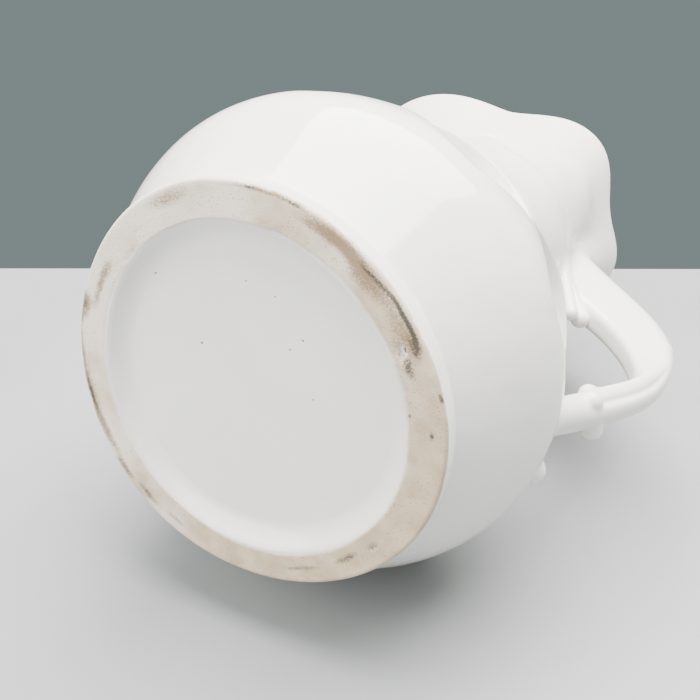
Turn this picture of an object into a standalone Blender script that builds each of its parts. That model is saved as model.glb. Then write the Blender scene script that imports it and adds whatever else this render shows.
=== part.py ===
"""A white ironstone pitcher with a twig handle, upright on its foot, in metres.

The body is a loft from the round foot to the lobed rim. Its handle is a swept branch that is joined to
the body, and the inside is then cut out of both, so the pitcher is one fired piece with a real wall.
"""
from math import copysign, cos, pi, radians, sin

import bmesh
import bpy
import numpy as np
from mathutils import Vector

# Foot
FOOT_RADIUS = 0.0690
RING_WIDTH = 0.0122
RING_EDGE = 0.0014
RECESS_DEPTH = 0.0050
RECESS_FILLET = 0.0080
FOOT_HEIGHT = 0.0080
FOOT_CREASE = 0.0020
FOOT_WARP = 0.0008
WARP_AZIMUTH = 119
WARP_HEIGHT = 0.0300
FOOT_SIDE = 0.75

# Outline of the body: radii from the axis, and the rise from each station to the next
UNDER_BELLY_RADIUS = 0.0791
BELLY_RADIUS = 0.0882
SHOULDER_RADIUS = 0.0800
CONE_RADIUS = 0.0655
NECK_RADIUS = 0.0503
THROAT_RADIUS = 0.0540
RIM_RADIUS = 0.0625
UNDER_BELLY_RISE = 0.0180
BELLY_RISE = 0.0235
SHOULDER_RISE = 0.0270
CONE_RISE = 0.0305
NECK_RISE = 0.0610
THROAT_RISE = 0.0390
RIM_RISE = 0.0345

# Walls
WALL = 0.0055
RELIEF_INSIDE = 0.7
FLOOR = 0.0080
FLOOR_FILLET = 0.0160
LIP = 0.0042

# Lobes of the rim, from the handle at 0 degrees to the spout at 180, alike on both sides
HANDLE_LOBE_RADIUS = 0.0655
BACK_VALLEY_RADIUS = 0.0600
SIDE_LOBE_RADIUS = 0.0678
FRONT_VALLEY_RADIUS = 0.0578
SPOUT_RADIUS = 0.0900
BACK_VALLEY_AZIMUTH = 27
SIDE_LOBE_AZIMUTH = 59
FRONT_VALLEY_AZIMUTH = 101
VALLEY_DIP = 0.0025
SPOUT_RISE = 0.0095
LOBE_FLARE = 1.5
SPOUT_FULLNESS = 0.75

# Leaf-shaped panels sunk round the shoulder, with knuckles between them and an arched crest above
LENS_STOPS = (0, 12, 35, 51, 69, 88, 107, 126, 145, 164, 180)
LENS_DEPTHS = (0, 0.6, 1, 0, 1, 0, 1, 0, 1, 0, 1)
LENS_SHARPNESS = 0.6
LENS_RISE = 0.0085
LENS_DROP = 0.0175
LENS_SLOPE = 0.0085
LENS_SINK = 0.0032
KNUCKLE = 0.0011
KNUCKLE_RISE = 0.0160
ARCH_CUSPS = (18, 51, 88, 126, 164, 196)
ARCH_SHARPNESS = 0.8
ARCH_RISE = 0.0080
ARCH_CREST = 0.0042
ARCH_SHARE = 0.5
ARCH_RISER = 0.0036
ARCH_FALL = 0.0180

# Petals under the rim, sunk behind a crease round the neck, with pits and hollows between them
PETAL_LENGTH = 0.0530
PETAL_SINK = 0.0016
PETAL_STEP = 0.0060
PIT_AZIMUTH = 99
PIT_WIDTH = 11
PIT_RISE = 0.0120
PIT_SINK = 0.0018
PIT_LENGTH = 0.0160
CREASE_FADE = (14, 36)
HOLLOW_AZIMUTH = 19
HOLLOW_WIDTH = 9
HOLLOW_DROP = 0.0275
HOLLOW_SIZE = 0.0130
HOLLOW = 0.0030

# Handle, in the plane of the spout. Its middle line runs from the upper root through the knots, each a
# distance in from its reach and a height, to the lower root. Half its thickness and half its width
# follow at each of these seven places.
HANDLE_REACH = 0.1059
UPPER_ROOT_HEIGHT = 0.2005
LOWER_ROOT_HEIGHT = 0.0610
ROOT_SINK = 0.0110
HANDLE_KNOTS = ((0.0367, 0.1854), (0.0109, 0.1617), (0.0030, 0.1459), (0, 0.1235), (0.0063, 0.1048))
HANDLE_DEPTHS = (0.0200, 0.0148, 0.0118, 0.0092, 0.0059, 0.0062, 0.0058)
HANDLE_WIDTHS = (0.0130, 0.0104, 0.0094, 0.0088, 0.0073, 0.0070, 0.0073)

# Its section: a rounded square, narrower inside the loop, that turns to an oval along the lower arm
SQUARENESS = 3.6
ROUNDNESS = 2.0
INNER_NARROWING = 0.32
NARROWING = (0.6, -0.8)
LOWER_ARM = (0.48, 0.62)

# Knobs and buds of the twig: the place that each grows from, which is a share of the handle's length or
# a root on the wall, then its middle line's start and tip from there, and its radius
KNOB_SHARE = 0.81
ELBOW_SHARE = 0.46
FRONT_KNOB = ((0.0007, -0.0045, -0.0040), (0.0029, 0.0093, 0.0019), 0.0040)
REAR_KNOB = ((-0.0013, 0, -0.0020), (-0.0032, -0.0028, 0.0032), 0.0040)
ELBOW_KNOB = ((0, -0.0030, 0), (0.0026, -0.0040, 0.0066), 0.0050)
ROOT_BUD = ((-0.0060, -0.0090, -0.0110), (0.0118, 0.0012, -0.0350), 0.0044)
LOW_STUB = ((-0.0055, 0.0130, 0.0040), (-0.0013, 0.0157, 0.0004), 0.0048)

# Fineness of the faceted solid
AROUND = 72
HANDLE_AROUND = 14
HANDLE_ROWS = 26
BUD_SEGMENTS = 10
BUD_RINGS = 7
SPAN = 0.0110
LENS_ROW = 0.3
TURNS = (0.0, 0.35, 0.7, 1.0)
LIP_TURNS = (0, 45, 90, 135, 180)

NAME = "pitcher"
OVERLAP = 0.0010


def smooth_outline(heights, values):
    """A natural cubic curve through the stations, as a function of height."""
    x = np.array(heights)
    y = np.array(values)
    gap = np.diff(x)
    slope = np.diff(y) / gap
    matrix = np.eye(len(x))
    right = np.zeros(len(x))
    for i in range(1, len(x) - 1):
        matrix[i, i - 1 : i + 2] = gap[i - 1], 2 * (gap[i - 1] + gap[i]), gap[i]
        right[i] = 6 * (slope[i] - slope[i - 1])
    bend = np.linalg.solve(matrix, right)

    def value(height):
        i = np.clip(np.searchsorted(x, height) - 1, 0, len(gap) - 1)
        t = height - x[i]
        first = slope[i] - gap[i] * (2 * bend[i] + bend[i + 1]) / 6
        return y[i] + t * (first + t * (bend[i] / 2 + t * (bend[i + 1] - bend[i]) / (6 * gap[i])))

    return value


def ease(t):
    """0 to 1 with a level start and end."""
    return 0.5 - 0.5 * np.cos(pi * np.clip(t, 0, 1))


STATION_RISES = (
    FOOT_HEIGHT,
    UNDER_BELLY_RISE,
    BELLY_RISE,
    SHOULDER_RISE,
    CONE_RISE,
    NECK_RISE,
    THROAT_RISE,
    RIM_RISE,
)
STATIONS = np.cumsum(STATION_RISES)
SHOULDER_HEIGHT = STATIONS[3]
NECK_HEIGHT = STATIONS[5]
RIM_HEIGHT = STATIONS[7]
body_radius = smooth_outline(
    STATIONS,
    (
        FOOT_RADIUS - FOOT_CREASE,
        UNDER_BELLY_RADIUS,
        BELLY_RADIUS,
        SHOULDER_RADIUS,
        CONE_RADIUS,
        NECK_RADIUS,
        THROAT_RADIUS,
        RIM_RADIUS,
    ),
)


def half_turn(azimuth):
    """Degrees from the handle's side, 0 to 180, alike on both sides."""
    return np.abs((np.degrees(azimuth) + 180) % 360 - 180)


def between(azimuth, stops, values):
    """Eased from value to value at the given azimuths."""
    a = half_turn(azimuth)
    stops = np.array(stops, float)
    values = np.array(values, float)
    i = np.clip(np.searchsorted(stops, a) - 1, 0, len(stops) - 2)
    t = (a - stops[i]) / (stops[i + 1] - stops[i])
    return values[i] + (values[i + 1] - values[i]) * ease(t)


LOBE_STOPS = (0, BACK_VALLEY_AZIMUTH, SIDE_LOBE_AZIMUTH, FRONT_VALLEY_AZIMUTH, 180)
LOBE_RADII = (
    HANDLE_LOBE_RADIUS,
    BACK_VALLEY_RADIUS,
    SIDE_LOBE_RADIUS,
    FRONT_VALLEY_RADIUS,
    SPOUT_RADIUS,
)
LOBE_RISES = (0, -VALLEY_DIP, 0, -VALLEY_DIP, SPOUT_RISE)


def lobes(azimuth):
    """The rim's radius: lobes and valleys, then the spout, which fills out quickly from its valley."""
    near = between(azimuth, LOBE_STOPS, LOBE_RADII)
    reach = SPOUT_RADIUS - FRONT_VALLEY_RADIUS
    share = np.clip((near - FRONT_VALLEY_RADIUS) / reach, 0, 1)
    full = FRONT_VALLEY_RADIUS + reach * share**SPOUT_FULLNESS
    return np.where(half_turn(azimuth) > FRONT_VALLEY_AZIMUTH, full, near)


def foot_warp(azimuth, height):
    """The foot is a little out of round, as it came from the kiln."""
    fade = 1 - ease(height / WARP_HEIGHT)
    return FOOT_WARP * fade * np.cos(3 * (azimuth - radians(WARP_AZIMUTH)))


def flare(height):
    """0 below the neck, growing to 1 at the rim."""
    t = np.clip((height - NECK_HEIGHT) / (RIM_HEIGHT - NECK_HEIGHT), 0, None)
    return t**LOBE_FLARE


def hill(x, width):
    """1 at 0 and smoothly down to nothing about twice the width away."""
    return np.exp(-((x / width) ** 2))


def lens(azimuth):
    """The depth of the shoulder's panels: 0 at the knuckles between them and 1 in their middles."""
    return between(azimuth, LENS_STOPS, LENS_DEPTHS) ** LENS_SHARPNESS


def arch(azimuth):
    """0 at the cusps of the crest over the panels and 1 at its tops."""
    a = half_turn(azimuth)
    cusps = np.array(ARCH_CUSPS, float)
    i = np.clip(np.searchsorted(cusps, a) - 1, 0, len(cusps) - 2)
    return np.clip(np.sin(pi * (a - cusps[i]) / (cusps[i + 1] - cusps[i])), 0, 1) ** ARCH_SHARPNESS


def panel_start(azimuth):
    """The height at which a panel starts to sink into the belly."""
    return SHOULDER_HEIGHT - LENS_RISE - LENS_DROP * lens(azimuth)


def crest_height(azimuth):
    """The height of the arched crest."""
    return SHOULDER_HEIGHT + ARCH_RISE * arch(azimuth)


def crease_height(azimuth):
    """The height of the crease round the neck, which runs up into the pits between the petals."""
    return RIM_HEIGHT - PETAL_LENGTH + PIT_RISE * hill(half_turn(azimuth) - PIT_AZIMUTH, PIT_WIDTH)


def shoulder_relief(azimuth, level):
    """Panels, knuckles and crest."""
    depth = lens(azimuth)
    above = level - crest_height(azimuth)
    up = ease(1 + np.clip(above, -ARCH_RISER, 0) / ARCH_RISER)
    into = ease((level - panel_start(azimuth)) / LENS_SLOPE)
    raised = ease(1 + (level - SHOULDER_HEIGHT + LENS_RISE) / KNUCKLE_RISE)
    low = KNUCKLE * (1 - depth) * raised - LENS_SINK * depth * into
    fall = 1 - ease(above / ARCH_FALL)
    crest = ARCH_CREST * (ARCH_SHARE + (1 - ARCH_SHARE) * arch(azimuth))
    return low * (1 - up) + crest * np.where(above < 0, up, fall)


def petal_relief(azimuth, level):
    """The sunk petals with their pits and hollows. It fades out at the rim."""
    side = half_turn(azimuth)
    above = level - crease_height(azimuth)
    fade = ease((side - CREASE_FADE[0]) / (CREASE_FADE[1] - CREASE_FADE[0]))
    fade = fade * np.clip((RIM_HEIGHT - level) / PETAL_LENGTH, 0, 1)
    pit = PIT_SINK * hill(side - PIT_AZIMUTH, PIT_WIDTH) * (1 - ease(above / PIT_LENGTH))
    down = level - RIM_HEIGHT + HOLLOW_DROP
    hollow = HOLLOW * hill(side - HOLLOW_AZIMUTH, HOLLOW_WIDTH) * hill(down, HOLLOW_SIZE)
    return -hollow - ease(above / PETAL_STEP) * (PETAL_SINK * fade + pit)


def relief(azimuth, level):
    """How far the outer surface stands out from the smooth outline."""
    return shoulder_relief(azimuth, level) + petal_relief(azimuth, level)


def place(azimuth, level, proud):
    """Points of a wall that stands proud of the turned outline, spread into the rim's lobes."""
    weight = flare(level)
    radius = body_radius(level) + proud
    radius = radius + weight * (lobes(azimuth) - RIM_RADIUS) + foot_warp(azimuth, level)
    level = level + weight**2 * between(azimuth, LOBE_STOPS, LOBE_RISES)
    return np.stack([radius * np.cos(azimuth), radius * np.sin(azimuth), level], axis=-1)


def ring_points(azimuth, radius, height):
    """A level row of the foot or the floor."""
    radius = radius + foot_warp(azimuth, height)
    level = np.full_like(azimuth, height)
    return np.stack([radius * np.cos(azimuth), radius * np.sin(azimuth), level], axis=-1)


def foot_rows(azimuth):
    """The recess, the flat ring and the foot's low wall."""
    inner = FOOT_RADIUS - RING_WIDTH
    rows = []
    for t in TURNS:
        radius = inner - RECESS_FILLET * cos(t * pi / 2)
        rows.append(ring_points(azimuth, radius, RECESS_DEPTH * (1 - (1 - cos(t * pi / 2)) ** 2)))
    rows.append(ring_points(azimuth, FOOT_RADIUS - RING_EDGE, 0))
    rows.append(ring_points(azimuth, FOOT_RADIUS, RING_EDGE))
    rows.append(ring_points(azimuth, FOOT_RADIUS, FOOT_SIDE * FOOT_HEIGHT))
    return rows


def climb(low, high, span):
    """Rows of heights per azimuth from low up to high, about a span apart, without high itself."""
    count = max(1, round(float(np.mean(high - low)) / span))
    return [low + (high - low) * k / count for k in range(count)]


def wall_rows(azimuth):
    """The outer wall up to the rim. Its rows bend to follow the panels, the crest and the crease."""
    none = np.zeros_like(azimuth)
    start = panel_start(azimuth)
    crest = crest_height(azimuth)
    crease = crease_height(azimuth)
    levels = climb(none + FOOT_HEIGHT, start, SPAN)
    riser = crest - ARCH_RISER
    levels += [start, start + LENS_ROW * (riser - start), riser, crest]
    levels += climb(crest + ARCH_RISER, crease, SPAN)
    levels += climb(crease, crease + PETAL_STEP, PETAL_STEP)
    levels += climb(crease + PETAL_STEP, none + RIM_HEIGHT - LIP / 2, SPAN)
    return [place(azimuth, level, relief(azimuth, level)) for level in levels]


def lip_rows(azimuth):
    """The rounded rim, and a ring inside it that the hollow cuts through."""
    none = np.zeros_like(azimuth)
    half = LIP / 2
    rows = []
    for turn in LIP_TURNS:
        level = RIM_HEIGHT - half + half * sin(radians(turn))
        rows.append(place(azimuth, none + level, half * cos(radians(turn)) - half))
    rows.append(place(azimuth, none + RIM_HEIGHT - 2 * LIP, -WALL - OVERLAP))
    return rows


def hollow_rows(azimuth):
    """The inside, one wall in from the outline, from its floor to above the rim. It follows most of
    the sunk relief, so that the wall keeps its thickness there."""
    none = np.zeros_like(azimuth)
    start = RECESS_DEPTH + FLOOR + FLOOR_FILLET
    inner = body_radius(start) - WALL
    rows = []
    for t in TURNS[:-1]:
        radius = inner - FLOOR_FILLET * (1 - sin(t * pi / 2))
        rows.append(ring_points(azimuth, radius, start - FLOOR_FILLET * cos(t * pi / 2)))
    for level in climb(none + start, none + RIM_HEIGHT - LIP, SPAN):
        rows.append(place(azimuth, level, RELIEF_INSIDE * np.minimum(relief(azimuth, level), 0) - WALL))
    top = place(azimuth, none + RIM_HEIGHT - LIP, -WALL)
    rows.append(top.copy())
    top[:, 2] = RIM_HEIGHT + 2 * SPOUT_RISE
    rows.append(top)
    return rows


def loft(name, rows, first, last):
    """A closed mesh through the rows, with a pole before the first row and one after the last."""
    count = len(rows[0])
    points = [first] + [tuple(p) for row in rows for p in row] + [last]
    faces = []
    for k in range(count):
        here = 1 + k
        after = 1 + (k + 1) % count
        faces.append((0, after, here))
        for i in range(len(rows) - 1):
            step = i * count
            faces.append((here + step, after + step, after + step + count, here + step + count))
        end = (len(rows) - 1) * count
        faces.append((here + end, after + end, len(points) - 1))
    mesh = bpy.data.meshes.new(name)
    mesh.from_pydata(points, [], faces)
    mesh.validate()
    return bpy.data.objects.new(name, mesh)


def wall_point(height):
    """A point of the outer wall on the handle's side, without relief."""
    point = place(np.zeros(1), np.full(1, height), 0)
    return Vector((float(point[0, 0]), 0, height))


def handle_path():
    """Rows of the handle's middle line: reach, height, half thickness and half width."""
    upper = wall_point(UPPER_ROOT_HEIGHT).x - ROOT_SINK
    lower = wall_point(LOWER_ROOT_HEIGHT).x - ROOT_SINK
    middle = [(HANDLE_REACH - inward, height) for inward, height in HANDLE_KNOTS]
    knots = np.array([(upper, UPPER_ROOT_HEIGHT), *middle, (lower, LOWER_ROOT_HEIGHT)])
    chord = np.concatenate([[0], np.cumsum(np.hypot(*np.diff(knots, axis=0).T))])
    at = np.linspace(0, chord[-1], HANDLE_ROWS)
    columns = (*knots.T, HANDLE_DEPTHS, HANDLE_WIDTHS)
    return np.stack([smooth_outline(chord, column)(at) for column in columns], axis=1)


def signed_power(x, power):
    """A power that keeps its sign."""
    return np.sign(x) * np.abs(x) ** power


def passed(value, stops):
    """0 before the first stop, 1 after the second and eased between them."""
    return ease((value - stops[0]) / (stops[1] - stops[0]))


def handle_rows(path):
    """Sections across the path, from inside the neck to inside the shoulder."""
    centres = np.stack([path[:, 0], np.zeros(len(path)), path[:, 1]], axis=1)
    step = np.gradient(centres, axis=0)
    step /= np.linalg.norm(step, axis=1)[:, None]
    side = np.array((0.0, 1.0, 0.0))
    out = np.cross(step, side)
    turn = (np.arange(HANDLE_AROUND) + 0.5)[None] * 2 * pi / HANDLE_AROUND
    lower = passed(np.linspace(0, 1, len(path)), LOWER_ARM)[:, None]
    power = 2 / (SQUARENESS + (ROUNDNESS - SQUARENESS) * lower)
    u = signed_power(np.cos(turn), power)
    v = signed_power(np.sin(turn), power) * (1 - INNER_NARROWING * (1 - lower) * passed(u, NARROWING))
    thick = (u * path[:, 2:3])[..., None] * out[:, None]
    wide = (v * path[:, 3:4])[..., None] * side
    return centres[:, None] + thick + wide


def handle_branch(path):
    """Out and down from under the rim to the elbow, then round and back in to the shoulder."""
    rows = handle_rows(path)
    return loft("handle", rows, tuple(rows[0].mean(axis=0)), tuple(rows[-1].mean(axis=0)))


def bud(name, origin, form):
    """A round-ended twig between two points of its middle line: a sphere whose halves are drawn apart."""
    start, tip, radius = origin + Vector(form[0]), origin + Vector(form[1]), form[2]
    along = tip - start
    shape = bmesh.new()
    bmesh.ops.create_uvsphere(shape, u_segments=BUD_SEGMENTS, v_segments=BUD_RINGS, radius=radius)
    for vertex in shape.verts:
        vertex.co.z += copysign(along.length / 2, vertex.co.z)
    turn = along.to_track_quat("Z", "Y").to_matrix().to_4x4()
    bmesh.ops.transform(shape, matrix=turn, verts=shape.verts)
    bmesh.ops.translate(shape, vec=(start + tip) / 2, verts=shape.verts)
    mesh = bpy.data.meshes.new(name)
    shape.to_mesh(mesh)
    shape.free()
    return bpy.data.objects.new(name, mesh)


def buds(path):
    """A pair of knobs across the lower arm, one at the elbow, and a bud at each root."""
    last = len(path) - 1
    knob, elbow = (path[round(share * last)] for share in (KNOB_SHARE, ELBOW_SHARE))
    knob, elbow = Vector((knob[0], 0, knob[1])), Vector((elbow[0], 0, elbow[1]))
    return (
        bud("front_knob", knob, FRONT_KNOB),
        bud("rear_knob", knob, REAR_KNOB),
        bud("elbow_knob", elbow, ELBOW_KNOB),
        bud("root_bud", wall_point(UPPER_ROOT_HEIGHT), ROOT_BUD),
        bud("low_stub", wall_point(LOWER_ROOT_HEIGHT), LOW_STUB),
    )


def join(target, tool, operation):
    """A Boolean on target with tool, which stays as a hidden guide."""
    guides.objects.link(tool)
    tool.hide_render = True
    tool.display_type = "WIRE"
    modifier = target.modifiers.new(tool.name, "BOOLEAN")
    modifier.operation = operation
    modifier.solver = "EXACT"
    modifier.object = tool


def glaze():
    """Warm white glaze."""
    material = bpy.data.materials.new("white_glaze")
    material.use_nodes = True
    shader = material.node_tree.nodes["Principled BSDF"]
    shader.inputs["Base Color"].default_value = (0.80, 0.80, 0.78, 1)
    shader.inputs["Roughness"].default_value = 0.12
    shader.inputs["Metallic"].default_value = 0.0
    return material


def main():
    azimuth = (np.arange(AROUND) + 0.5) * 2 * pi / AROUND
    rows = foot_rows(azimuth) + wall_rows(azimuth) + lip_rows(azimuth)
    body = loft(NAME, rows, (0, 0, RECESS_DEPTH), (0, 0, RIM_HEIGHT - 3 * LIP))
    pieces.objects.link(body)
    body.data.materials.append(glaze())
    path = handle_path()
    for branch in (handle_branch(path), *buds(path)):
        join(body, branch, "UNION")
    hollow = hollow_rows(azimuth)
    join(body, loft("hollow", hollow, (0, 0, RECESS_DEPTH + FLOOR), (0, 0, hollow[-1][0][2])), "DIFFERENCE")
    bpy.context.view_layer.update()
    shown = body.evaluated_get(bpy.context.evaluated_depsgraph_get())
    across = [corner[0] for corner in shown.bound_box]
    middle = (min(across) + max(across)) / 2
    for piece in (body, *guides.objects):
        piece.location.x = -middle
    body.data.shade_smooth()


for old in list(bpy.data.objects):
    bpy.data.objects.remove(old)
pieces = bpy.data.collections.new("ironstone_pitcher")
guides = bpy.data.collections.new("cutters")
bpy.context.scene.collection.children.link(pieces)
bpy.context.scene.collection.children.link(guides)
main()
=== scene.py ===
from math import atan2, cos, degrees, pi, radians, sin

import bpy
import numpy as np
from mathutils import Matrix, Vector


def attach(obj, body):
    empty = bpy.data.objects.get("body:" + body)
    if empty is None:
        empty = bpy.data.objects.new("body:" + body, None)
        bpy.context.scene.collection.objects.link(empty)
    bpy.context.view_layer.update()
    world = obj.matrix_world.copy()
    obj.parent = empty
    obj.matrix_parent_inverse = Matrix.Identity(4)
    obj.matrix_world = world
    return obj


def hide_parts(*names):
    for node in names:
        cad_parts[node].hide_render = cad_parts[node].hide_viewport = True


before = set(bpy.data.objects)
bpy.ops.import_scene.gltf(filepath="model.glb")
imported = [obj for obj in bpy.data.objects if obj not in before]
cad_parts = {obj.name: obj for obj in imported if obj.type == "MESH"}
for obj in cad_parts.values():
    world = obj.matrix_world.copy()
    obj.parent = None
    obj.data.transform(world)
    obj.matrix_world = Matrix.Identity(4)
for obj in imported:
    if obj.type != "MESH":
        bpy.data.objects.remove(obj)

# The ironstone pitcher, lying on its side with its foot towards the camera. Lengths are in metres.
# The body is one fine loft from the foot to the rim and down inside, and the handle is a branch
# swept along its path with soft roots. Both repeat the solid's outline, with the finer relief added.

# Foot: a bare ring round a glazed recess. Its wall has rows up to a share of its height, and it is a
# little out of round, in waves that fade out above it.
FOOT_RADIUS = 0.0690
RING_WIDTH = 0.0122
RING_EDGE = 0.0014
RECESS_DEPTH = 0.0050
RECESS_FILLET = 0.0080
FOOT_HEIGHT = 0.0080
FOOT_WALL = 0.85
FOOT_WARP = 0.0008
WARP_WAVES = 3
WARP_AZIMUTH = 119
WARP_HEIGHT = 0.0300

# Outline of the body: heights above the ground and radii from the axis. The inside follows a share of
# what is sunk into the outside, and the lip grows into the wall over a share of the inside's height.
STATION_HEIGHTS = np.cumsum((0.0080, 0.0180, 0.0235, 0.0270, 0.0305, 0.0610, 0.0390, 0.0345))
STATION_RADII = (0.0670, 0.0791, 0.0882, 0.0800, 0.0655, 0.0503, 0.0540, 0.0625)
SHOULDER_HEIGHT = STATION_HEIGHTS[3]
NECK_HEIGHT = STATION_HEIGHTS[5]
RIM_HEIGHT = STATION_HEIGHTS[7]
RIM_RADIUS = STATION_RADII[7]
WALL = 0.0055
RELIEF_INSIDE = 0.7
FLOOR = 0.0080
FLOOR_FILLET = 0.0160
LIP = 0.0042
LIP_SHARE = 1 / 8

# Lobes of the rim, from the handle at 0 degrees to the spout at 180, alike on both sides
LOBE_STOPS = (0, 27, 59, 101, 180)
LOBE_RADII = (0.0655, 0.0600, 0.0678, 0.0578, 0.0900)
LOBE_FLARE = 1.5
SPOUT_FULLNESS = 0.75
VALLEY_DIP = 0.0025
SPOUT_RISE = 0.0095

# Leaf-shaped panels sunk round the shoulder, with knuckles between them and an arched crest above. At
# its cusps the crest keeps a share of its height, and a share of it is a bead that falls off at once.
LENS_STOPS = (0, 12, 35, 51, 69, 88, 107, 126, 145, 164, 180)
LENS_DEPTHS = (0, 0.6, 1, 0, 1, 0, 1, 0, 1, 0, 1)
LENS_SHARPNESS = 0.6
LENS_TOP = 0.0680
LENS_DROP = 0.0175
LENS_SLOPE = 0.0085
LENS_SINK = 0.0032
KNUCKLE = 0.0011
KNUCKLE_START = 0.0520
KNUCKLE_RISE = 0.0160
ARCH_CUSPS = (18, 51, 88, 126, 164, 196)
ARCH_FULLNESS = 0.8
ARCH_RISE = 0.0080
ARCH_CREST = 0.0042
CREST_AT_CUSPS = 0.5
CREST_BEAD = 0.3
ARCH_RISER = 0.0036
ARCH_FALL = 0.0180

# Petals under the rim, sunk behind a crease round the neck, with pits and hollows between them. Fine
# rows go on above the crease for a number of its steps.
PETAL_HEIGHT = 0.1885
PETAL_SINK = 0.0022
PETAL_STEP = 0.0080
CREASE_ZONE = 1.5
PIT_AZIMUTH = 99
PIT_WIDTH = 11
PIT_RISE = 0.0120
PIT_SINK = 0.0026
PIT_LENGTH = 0.0160
CREASE_FADE = (14, 36)
FOLD_AZIMUTH = 43
FOLD_WIDTH = 15
FOLD_HEIGHT = 0.2160
FOLD_SIZE = 0.0070
FOLD = 0.0020
HOLLOW_AZIMUTH = 19
HOLLOW_WIDTH = 9
HOLLOW_HEIGHT = 0.2140
HOLLOW_SIZE = 0.0130
HOLLOW = 0.0040

# Handle: how far its knots lie in from its reach and how high, and half its thickness and width at
# the upper root, the knots and the lower root. Each root is a fillet, with a skirt as wide as a share
# of it that dips under the wall, and a pole further in. The section narrows from a place on its outer
# half, as a share of its thickness, over a span of such shares.
HANDLE_REACH = 0.1059
UPPER_ROOT_HEIGHT = 0.2005
LOWER_ROOT_HEIGHT = 0.0610
HANDLE_KNOTS = ((0.0367, 0.1854), (0.0109, 0.1617), (0.0030, 0.1459), (0, 0.1235), (0.0063, 0.1048))
HANDLE_DEPTHS = (0.0200, 0.0148, 0.0118, 0.0092, 0.0059, 0.0062, 0.0058)
HANDLE_WIDTHS = (0.0130, 0.0104, 0.0094, 0.0088, 0.0073, 0.0070, 0.0073)
ROOT_SINK = 0.0110
ROOT_FILLET = 0.0060
ROOT_SKIRT = 1.2
ROOT_PROUD = 0.00001
ROOT_TUCK = 0.0008
ROOT_POLE = 0.0015
SQUARENESS = 3.6
INNER_NARROWING = 0.32
NARROWING_START = 0.6
NARROWING_SPAN = 1.4

# Lower arm: the share of the handle's length at which it begins, and the span of the change. Its ridge
# and groove each have a height, an angle round the section in degrees and a spread in degrees.
LOWER_ARM = 0.48
LOWER_ARM_SPAN = 0.14
RIDGE = (0.0011, 256, 20)
GROOVE = (0.0009, 304, 15)
RIDGE_END = 0.80
RIDGE_FADE = 0.05

# Round-ended twigs: start, end, radius, and how softly they join what they grow from
HANDLE_TWIGS = (
    ((0.0921, -0.0050, 0.0874), (0.0960, 0.0067, 0.0905), 0.0042, 0.0010),
    ((0.0915, 0.0, 0.0905), (0.0896, -0.0028, 0.0957), 0.0040, 0.0026),
    ((0.1017, -0.0030, 0.1492), (0.1048, -0.0042, 0.1556), 0.0050, 0.0010),
)
ROOT_TWIGS = (
    ((0.0477, -0.0090, 0.1895), (0.0678, 0.0014, 0.1672), 0.0042),
    ((0.0486, -0.0100, 0.1880), (0.0636, -0.0014, 0.1622), 0.0034),
)
WALL_TWIGS = (
    ((0.0477, -0.0090, 0.1895), (0.0545, -0.0051, 0.1800), 0.0044, 0.0060),
    ((0.0809, 0.0130, 0.0650), (0.0851, 0.0157, 0.0614), 0.0048, 0.0060),
)

# The twigs at the upper root start with this share of their end's radius
TWIG_TAPER = 0.83

# How points settle onto what stands out: the number of steps, the share of the gap that each closes,
# how far out they start, and how near a bud the wall's points take part
SETTLE_STEPS = 60
SETTLE_SHARE = 0.8
WALL_START = 0.025
HANDLE_START = 0.022
BUD_ZONE = 0.03

# Wear of the foot ring, each with its azimuth in degrees and its distance from the axis. Stains are an
# arc's half length in degrees, half width and strength; chips a half length, half width and depth.
BROWN_STAINS = (
    (-74, 0.0655, 11, 0.0026, 1.10),
    (-62, 0.0635, 8, 0.0040, 0.85),
    (-47, 0.0640, 9, 0.0040, 0.60),
    (-163, 0.0624, 7, 0.0022, 0.75),
    (-172, 0.0623, 6, 0.0018, 0.60),
    (-177, 0.0664, 5, 0.0028, 1.00),
    (173, 0.0682, 14, 0.0018, 0.90),
    (152, 0.0668, 16, 0.0028, 0.80),
    (137, 0.0660, 10, 0.0020, 0.50),
    (-127, 0.0656, 9, 0.0030, 0.65),
    (-95, 0.0680, 14, 0.0010, 0.70),
    (-30, 0.0640, 16, 0.0040, 0.25),
    (40, 0.0640, 30, 0.0040, 0.25),
)
DARK_STAINS = (
    (-61, 0.0655, 5, 0.0009, 0.75),
    (-54, 0.0664, 6, 0.0010, 0.85),
    (-47, 0.0664, 5, 0.0010, 0.95),
    (-41, 0.0655, 4, 0.0020, 0.95),
    (-36, 0.0612, 4, 0.0018, 0.80),
    (153, 0.0666, 8, 0.0010, 0.85),
    (-177, 0.0664, 2, 0.0009, 0.70),
    (164, 0.0683, 1, 0.0009, 1.00),
    (128, 0.0673, 5, 0.0016, 0.75),
    (117, 0.0657, 6, 0.0016, 0.65),
    (105, 0.0646, 5, 0.0013, 0.50),
    (56, 0.0623, 9, 0.0012, 0.50),
    (38, 0.0616, 5, 0.0016, 0.60),
    (27, 0.0624, 3, 0.0010, 0.45),
    (-88, 0.0679, 4, 0.0008, 0.70),
    (-100, 0.0682, 2, 0.0007, 0.60),
    (-28, 0.0684, 1, 0.0006, 1.00),
    (-17, 0.0648, 1.5, 0.0008, 0.80),
    (-22, 0.0581, 1, 0.0006, 0.80),
)
CHIPS = (
    (-41, 0.0605, 3.2, 0.0020, 0.0024),
    (-37, 0.0620, 2, 0.0010, 0.0004),
    (164, 0.0683, 1, 0.0007, 0.0008),
    (27, 0.0624, 2, 0.0012, 0.0011),
    (151, 0.0688, 4, 0.0010, 0.0006),
    (-46, 0.0690, 5, 0.0014, 0.0010),
    (121, 0.0689, 3, 0.0009, 0.0005),
    (-150, 0.0583, 5, 0.0010, 0.0005),
    (64, 0.0690, 6, 0.0009, 0.0005),
)

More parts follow.
